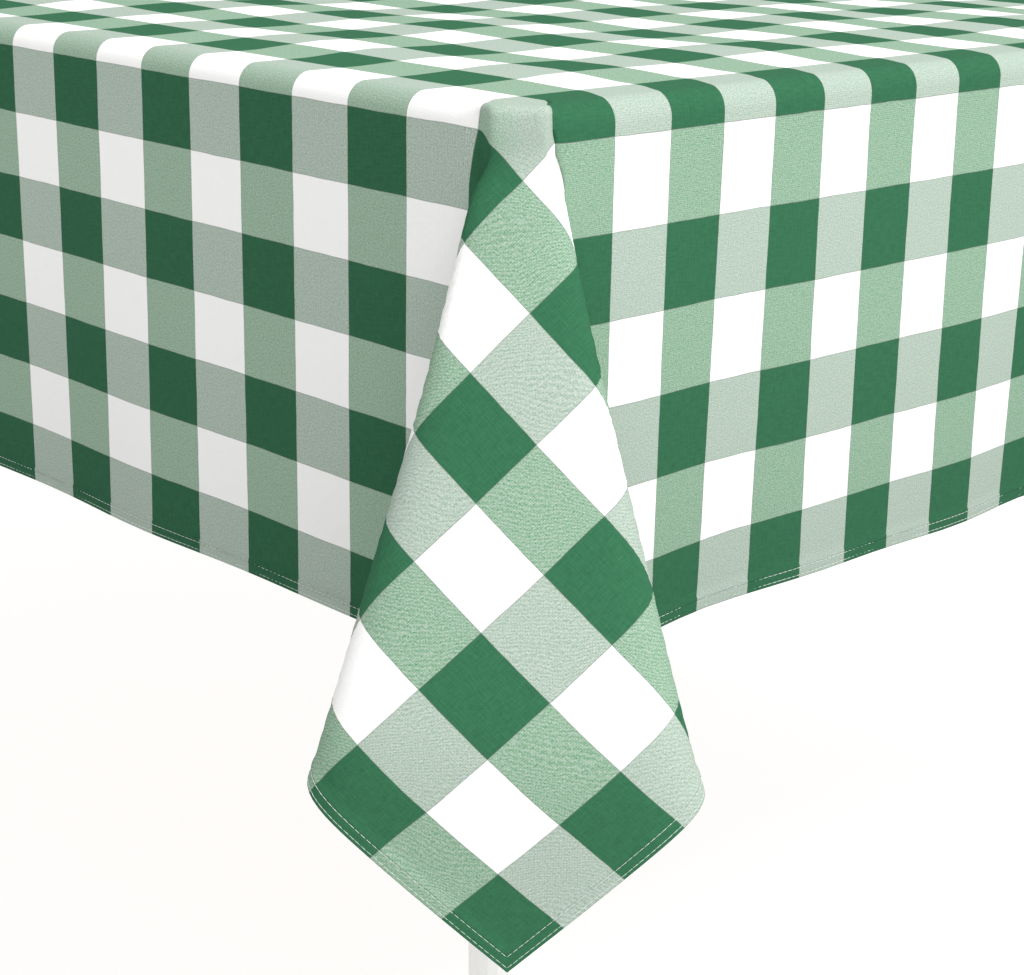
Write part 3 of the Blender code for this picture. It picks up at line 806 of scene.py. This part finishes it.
cover_u = calc(tree, "ADD", uneven, COVER_ALONG)
# painted light and shade: the share of green is shifted on the ends and on the long sides
cover_u = madd(tree, only_sides, PAINTED_LIGHT_HANGING, cover_u)
cover_v = madd(tree, uneven, 1.1, COVER_ACROSS)
cover_v = madd(tree, only_ends, PAINTED_LIGHT_ENDS, cover_v)
cover_v = madd(tree, only_sides, PAINTED_LIGHT_SIDES, cover_v)
covered_u = mul(tree, only_u, cover_u)
covered_v = mul(tree, only_v, cover_v)
cover = calc(tree, "ADD", covered_u, covered_v, clamp=True)
# painted light: picks the greener green where threads hang and the greyer one where they lie level
hanging = mul(tree, only_u, only_sides)
hanging = madd(tree, only_v, calc(tree, "SUBTRACT", 1.0, only_sides), hanging)
pale = mix(tree, cover, WHITE_YARN, mix(tree, hanging, LEVEL_GREEN_PAINTED_LIGHT, HANGING_GREEN_PAINTED_LIGHT))
checks = mix(tree, both, pale, DARK_CHECK)
print("pale checks show", COVER_ALONG, "and", COVER_ACROSS, "of green")

# %% [markdown]
# ## Shade of the yarn
# Four things make the colour lighter or darker: streaks along the yarn; painted shade on the dark checks
# of the long sides and painted light on those of the corner folds; painted shade that grows towards the
# hem; and a thin line where bands meet.
# The seam's groove gets a painted shadow as well.

# %% Shades
STREAKS_WHITE, STREAKS_GREEN = 0.05, 0.28  # on white, and added for each green band
# painted shade on the dark checks of the long sides, painted light on those of the corner folds
SIDES_PAINTED_SHADE, CORNER_PAINTED_LIGHT = -0.12, 0.06
# painted shade towards the hem: where it starts on the flat map, over what length it grows, and how dark
# it gets
EDGE_X, EDGE_Y, DARKEN_LENGTH, HEM_PAINTED_SHADE = 0.8, 0.5, 0.25, -0.16
LINE_DEPTH, LINE_SHARPNESS = 0.48, 34.0
# painted shadow in the seam's groove: its half width, and how much darker the colour is made
GROOVE_HALF_WIDTH, GROOVE_PAINTED_SHADOW = 0.0010, -0.16


def thin_line(wave):
    """1 where two bands meet, and 0 a little way off."""
    away = mul(tree, calc(tree, "ABSOLUTE", wave), LINE_SHARPNESS)
    return calc(tree, "SUBTRACT", 1.0, away, clamp=True)


def shade_by(shade, amount, strength):
    """The shade, made lighter or darker by a share."""
    return mul(tree, shade, madd(tree, amount, strength, 1.0))


greens = calc(tree, "ADD", green_u, green_v)
streaks = madd(tree, greens, STREAKS_GREEN, STREAKS_WHITE)
shade = madd(tree, threads["Yarn"], streaks, 1.0)
# painted shade on the dark checks of the long sides and painted light on those of the corner folds
dark_check_painted_light = madd(tree, only_sides, SIDES_PAINTED_SHADE, mul(tree, corner, CORNER_PAINTED_LIGHT))
shade = shade_by(shade, dark_check_painted_light, both)
# painted shade: the hanging cloth gets darker towards the hem on the ends and the long sides
past_x, past_y = calc(tree, "SUBTRACT", off_x, EDGE_X), calc(tree, "SUBTRACT", off_y, EDGE_Y)
down = calc(tree, "DIVIDE", calc(tree, "MAXIMUM", past_x, past_y), DARKEN_LENGTH, clamp=True)
down = mul(tree, calc(tree, "ADD", only_ends, only_sides), down)
shade = shade_by(shade, mul(tree, down, down), HEM_PAINTED_SHADE)
shade = shade_by(shade, calc(tree, "MAXIMUM", thin_line(wave_u), thin_line(wave_v)), -LINE_DEPTH)

from_edge_u = calc(tree, "SUBTRACT", CLOTH_LENGTH / 2, off_x)
from_edge_v = calc(tree, "SUBTRACT", CLOTH_WIDTH / 2, off_y)
from_edge = calc(tree, "MINIMUM", from_edge_u, from_edge_v)
off_seam = calc(tree, "ABSOLUTE", calc(tree, "SUBTRACT", from_edge, STITCH_FROM_EDGE))
groove = calc(tree, "SUBTRACT", 1.0, calc(tree, "DIVIDE", off_seam, GROOVE_HALF_WIDTH), clamp=True)
# painted shadow: the groove's colour is made darker, beside its real relief below
shade = shade_by(shade, groove, GROOVE_PAINTED_SHADOW)
shaded = add_node(tree, "ShaderNodeHueSaturation", {"Value": shade, "Color": checks}).outputs[0]
tree.links.new(shaded, shader.inputs["Base Color"])
print("the seam's groove is", GROOVE_HALF_WIDTH * 2000, "mm wide")

# %% Relief of the cloth
# Each height is in metres: the weave, the yarn, soft crumples, the groove and the hem's puckers.
WEAVE_HEIGHT, YARN_HEIGHT, CRUMPLE_HEIGHT = 0.000030, 0.00010, 0.00035
GROOVE_HEIGHT, PUCKER_HEIGHT = -0.00035, 0.00030
relief = mul(tree, threads["Relief"], WEAVE_HEIGHT)
relief = madd(tree, threads["Yarn"], YARN_HEIGHT, relief)
relief = madd(tree, noise(tree, flat_uv, 38.0, 3.0, 0.45), CRUMPLE_HEIGHT, relief)
relief = madd(tree, groove, GROOVE_HEIGHT, relief)
pucker = mul(tree, noise(tree, flat_uv, 210.0, 1.0), groove)
relief = madd(tree, pucker, PUCKER_HEIGHT, relief)
raise_surface(tree, shader, relief)
settle(shader, Roughness=0.92, Specular_IOR_Level=0.08)
cloth.data.materials.append(gingham)
print("material", gingham.name, "with", len(tree.nodes), "nodes")

# %% [markdown]
# ## Sewing thread
# Polyester thread is twisted from a few strands and is a little shinier than the cotton. Its pale
# grey green goes with both the white and the green checks.

# %% Sewing thread material
sewing, tree, shader = start_material("sewing_thread")
place = own_place(tree)
twist = use_group(tree, weave, place, pitch=0.00025)
tone = madd(tree, twist["Yarn"], 0.8, 0.5, clamp=True)
tree.links.new(mix(tree, tone, (0.52, 0.60, 0.54), (0.80, 0.84, 0.80)), shader.inputs["Base Color"])
raise_surface(tree, shader, mul(tree, twist["Ribs"], 0.00002))
settle(shader, Roughness=0.6, Sheen_Weight=0.1)
thread.data.materials.append(sewing)
print("material", sewing.name)

# %% [markdown]
# ## Wood
# Sawn wood shows long fibres along the plank, slow bands where the year rings are cut, and short
# dark pores. All three are noise, pulled out along the grain. The board is glued up from planks, so
# each plank gets its own tone and its own place in the pattern. The hidden braces are the same wood
# without oil.

# %% Grain group
grain, given, made = start_group("wood_grain", [], ["Bands", "Fibres", "Pores"])
long_way = scaled(grain, given["Vector"], 0.07, 1.0, 1.0)
drift = noise(grain, scaled(grain, given["Vector"], 0.35, 1.0, 1.0), 5.0, 3.0)
_, ring_y, ring_z = split(grain, given["Vector"])
ring_place = calc(grain, "ADD", mul(grain, ring_y, 60.0), mul(grain, ring_z, 25.0))
ring_turns = calc(grain, "ADD", ring_place, mul(grain, drift, 26.0))
bands = madd(grain, calc(grain, "SINE", ring_turns), 0.5, 0.5)
feed(grain, made["Bands"], bands)
feed(grain, made["Fibres"], noise(grain, long_way, 420.0, 4.0, 0.65))
pore_noise = noise(grain, scaled(grain, given["Vector"], 0.10, 1.0, 1.0), 900.0, 2.0)
feed(grain, made["Pores"], madd(grain, pore_noise, 9.0, -5.6, clamp=True))
print("group", grain.name)


# %% Wood materials
def wood(name, light, dark, roughness, coat, plank_width=None, along_y=False):
    """A wooden finish whose grain runs along X, or along Y."""
    made, tree, shader = start_material(name)
    place = own_place(tree)
    x, y, z = split(tree, place)
    if along_y:
        x, y = y, x
    tone = 0.5
    if plank_width:
        plank = calc(tree, "FLOOR", calc(tree, "DIVIDE", y, plank_width))
        chance = add_node(tree, "ShaderNodeTexWhiteNoise", {"W": plank}, noise_dimensions="1D")
        chance = chance.outputs["Value"]
        x = madd(tree, chance, 3.0, x)
        y = madd(tree, chance, 0.7, y)
        tone = chance
    parts = use_group(tree, grain, join(tree, x, y, z))
    amount = mul(tree, parts["Bands"], 0.38)
    amount = madd(tree, parts["Fibres"], 0.62, amount)
    amount = madd(tree, tone, 0.30, calc(tree, "SUBTRACT", amount, 0.18), clamp=True)
    colour = mix(tree, amount, light, dark)
    colour = mix(tree, mul(tree, parts["Pores"], 0.55), colour, tuple(c * 0.45 for c in dark))
    tree.links.new(colour, shader.inputs["Base Color"])
    height = mul(tree, parts["Fibres"], 0.00008)
    height = madd(tree, parts["Pores"], -0.00010, height)
    if plank_width:
        half_turns = mul(tree, split(tree, place)[1], math.pi / plank_width)
        joint = calc(tree, "ABSOLUTE", calc(tree, "SINE", half_turns))
        gap = calc(tree, "SUBTRACT", 1.0, mul(tree, joint, 60.0), clamp=True)
        height = madd(tree, gap, -0.00015, height)
    raise_surface(tree, shader, height)
    rough = madd(tree, parts["Fibres"], 0.18, roughness)
    tree.links.new(rough, shader.inputs["Roughness"])
    settle(shader, Coat_Weight=coat, Coat_Roughness=0.35)
    print("material", name)
    return made


PLANK_WIDTH = 0.125
oiled_light, oiled_dark = (0.560, 0.340, 0.165), (0.300, 0.150, 0.062)
plain_light, plain_dark = (0.640, 0.480, 0.300), (0.440, 0.290, 0.150)
oiled_wood = wood("oiled_wood", oiled_light, oiled_dark, 0.36, 0.15, plank_width=PLANK_WIDTH)
plain_wood_x = wood("plain_wood", plain_light, plain_dark, 0.62, 0.0)
plain_wood_y = wood("plain_wood_crosswise", plain_light, plain_dark, 0.62, 0.0, along_y=True)

# %% [markdown]
# ## Painted wood
# The legs and rails are brushed with white eggshell paint. Brush marks run the long way of each
# piece, the grain shows through as a faint relief, and years of shoes and mops leave the feet a
# little greyer. The two pale colours lie close together, so that the paint stays white.

# %% Paint material
CLEAN_PAINT, WORN_PAINT = (0.850, 0.845, 0.825), (0.640, 0.620, 0.580)
SCUFF_HEIGHT = 0.10  # above the floor


def paint(name, long_axis):
    """White paint brushed along X, Y or Z."""
    made, tree, shader = start_material(name)
    place = own_place(tree)
    x, y, z = split(tree, place)
    order = {"X": (x, y, z), "Y": (y, x, z), "Z": (z, x, y)}[long_axis]
    brushed = join(tree, *order)
    marks = noise(tree, scaled(tree, brushed, 0.05, 1.0, 1.0), 520.0, 3.0, 0.6)
    parts = use_group(tree, grain, brushed)
    patches = noise(tree, place, 7.0, 3.0)
    low = calc(tree, "SUBTRACT", 1.0, calc(tree, "DIVIDE", z, SCUFF_HEIGHT), clamp=True)
    scuffs = madd(tree, noise(tree, place, 85.0, 4.0, 0.7), 5.0, -3.0, clamp=True)
    dirt = mul(tree, patches, 0.25)
    dirt = madd(tree, mul(tree, low, scuffs), 0.6, dirt, clamp=True)
    tree.links.new(mix(tree, dirt, CLEAN_PAINT, WORN_PAINT), shader.inputs["Base Color"])
    height = mul(tree, marks, 0.00012)
    height = madd(tree, parts["Fibres"], 0.00005, height)
    raise_surface(tree, shader, height)
    tree.links.new(madd(tree, marks, 0.22, 0.30), shader.inputs["Roughness"])
    print("material", name)
    return made


paints = {axis: paint(f"white_paint_along_{axis.lower()}", axis) for axis in "XYZ"}

# %% [markdown]
# ## Steel and plastic
# Brackets, bolts and screws are zinc plated, which leaves grains that reflect a little differently.
# A Voronoi pattern gives such grains. The glides under the feet are dark moulded plastic with the
# fine texture of the mould.

# %% Steel material
steel, tree, shader = start_material("zinc_steel")
place = own_place(tree)
grains = add_node(tree, "ShaderNodeTexVoronoi", {"Vector": place, "Scale": 420.0}).outputs["Color"]
grain_value = split(tree, grains)[0]
dull = noise(tree, place, 60.0, 4.0)
tone = madd(tree, grain_value, 0.5, mul(tree, dull, 0.5))
tree.links.new(mix(tree, tone, (0.52, 0.53, 0.54), (0.72, 0.72, 0.70)), shader.inputs["Base Color"])
tree.links.new(madd(tree, tone, 0.25, 0.28), shader.inputs["Roughness"])
raise_surface(tree, shader, mul(tree, grain_value, 0.000012))
settle(shader, Metallic=1.0)
print("material", steel.name)

# %% Plastic material
plastic, tree, shader = start_material("glide_plastic")
place = own_place(tree)
mould = noise(tree, place, 1800.0, 2.0)
rub = noise(tree, place, 90.0, 3.0)
tree.links.new(mix(tree, rub, (0.030, 0.030, 0.032), (0.085, 0.083, 0.080)), shader.inputs["Base Color"])
tree.links.new(madd(tree, rub, 0.25, 0.40), shader.inputs["Roughness"])
raise_surface(tree, shader, mul(tree, mould, 0.00004))
print("material", plastic.name)

# %% Give the table its finishes
FINISHES = {
    "tabletop": oiled_wood,
    "cross_rail": plain_wood_y,
    "corner_brace": plain_wood_x,
    **dict.fromkeys(["apron_front", "apron_back"], paints["X"]),
    **dict.fromkeys(["apron_left", "apron_right"], paints["Y"]),
    **dict.fromkeys(["leg_front", "leg_back"], paints["Z"]),
    "foot_glide": plastic,
    **dict.fromkeys(["leg_nut", "hanger_bolt", "angle_bracket", "board_screw", "apron_screw"], steel),
}
finished = 0
for name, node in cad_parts.items():
    if name in CLOTH_NODES:
        continue
    finish = next(material for start, material in FINISHES.items() if name.startswith(start))
    node.data.materials.clear()
    node.data.materials.append(finish)
    finished += 1
print("finished", finished, "pieces of the table")

# %% [markdown]
# ## Floor and light
# The object stands on a plain white floor in a white room, as in a product shot. One large soft lamp
# stands on the right, well above the table, so the right side and the front of the fold are bright
# and the left side is in soft shade. The floor glows a little, as a lit table does, which keeps the
# shadow under the cloth pale.

# %% Floor
FLOOR_HALF, FLOOR_DROP = 9.0, 0.0006  # it lies just under the feet, so that no two faces coincide
FLOOR_GREY, FLOOR_GLOW = 0.30, 0.85
bm = bmesh.new()
bmesh.ops.create_grid(bm, x_segments=1, y_segments=1, size=FLOOR_HALF)
bmesh.ops.translate(bm, verts=bm.verts, vec=(0, 0, -FLOOR_DROP))
floor_mesh = bpy.data.meshes.new("studio_floor")
bm.to_mesh(floor_mesh)
bm.free()
floor = add_object("studio_floor", floor_mesh)
floor_finish, tree, shader = start_material("studio_floor")
settle(shader, Base_Color=(FLOOR_GREY, FLOOR_GREY, FLOOR_GREY, 1), Roughness=0.9)
settle(shader, Specular_IOR_Level=0.1, Emission_Color=(1, 1, 1, 1), Emission_Strength=FLOOR_GLOW)
floor_mesh.materials.append(floor_finish)
print("floor", FLOOR_HALF * 2, "m across")

# %% Lamp and room
LAMP_FROM, LAMP_TO = Vector((3.7, -0.4, 4.9)), Vector((0.3, 0.0, 0.6))
LAMP_SIZE, LAMP_POWER, ROOM_STRENGTH = 2.2, 312, 0.62
lamp_data = bpy.data.lights.new("right_lamp", "AREA")
lamp_data.shape, lamp_data.energy = "RECTANGLE", LAMP_POWER
lamp_data.size = lamp_data.size_y = LAMP_SIZE
lamp = add_object("right_lamp", lamp_data)
lamp.location = LAMP_FROM
lamp.rotation_euler = (LAMP_TO - LAMP_FROM).to_track_quat("-Z", "Y").to_euler()

room = bpy.data.worlds.new("white_room")
room.use_nodes = True
background = room.node_tree.nodes["Background"]
background.inputs["Color"].default_value = (1, 1, 1, 1)
background.inputs["Strength"].default_value = ROOM_STRENGTH
bpy.context.scene.world = room
bpy.context.scene.view_settings.view_transform = "Standard"

# %% [markdown]
# ## Camera
# The camera stands off the table's near right corner and looks down a little, with a long lens, so
# the corner fold fills the picture. It is turned by its three own directions: level to the right, up,
# and back towards the viewer, with a roll of one degree.

# %% Camera
CAMERA_FROM_CORNER = Vector((0.662, -0.626, 0.127))  # from the board's near right top corner
AZIMUTH, ELEVATION, ROLL = math.radians(46.64), math.radians(17.55), math.radians(1.06)
LENS, SENSOR = 77.9, 36.0

level = Vector((math.cos(AZIMUTH), math.sin(AZIMUTH), 0))
flat_back = Vector((math.sin(AZIMUTH), -math.cos(AZIMUTH), 0))
back = flat_back * math.cos(ELEVATION) + Vector((0, 0, math.sin(ELEVATION)))
up = back.cross(level)
right_hand = level * math.cos(ROLL) + up * math.sin(ROLL)
upward = back.cross(right_hand)
camera_data = bpy.data.cameras.new("camera")
camera_data.lens, camera_data.sensor_width = LENS, SENSOR
camera = add_object("camera", camera_data)
turned = Matrix((right_hand, upward, back)).transposed().to_4x4()
near_board_corner = Vector((board_high.x, board_low.y, board_high.z))
camera.matrix_world = Matrix.Translation(near_board_corner + CAMERA_FROM_CORNER) @ turned
bpy.context.scene.camera = camera
print("camera at", [round(x, 3) for x in camera.matrix_world.translation])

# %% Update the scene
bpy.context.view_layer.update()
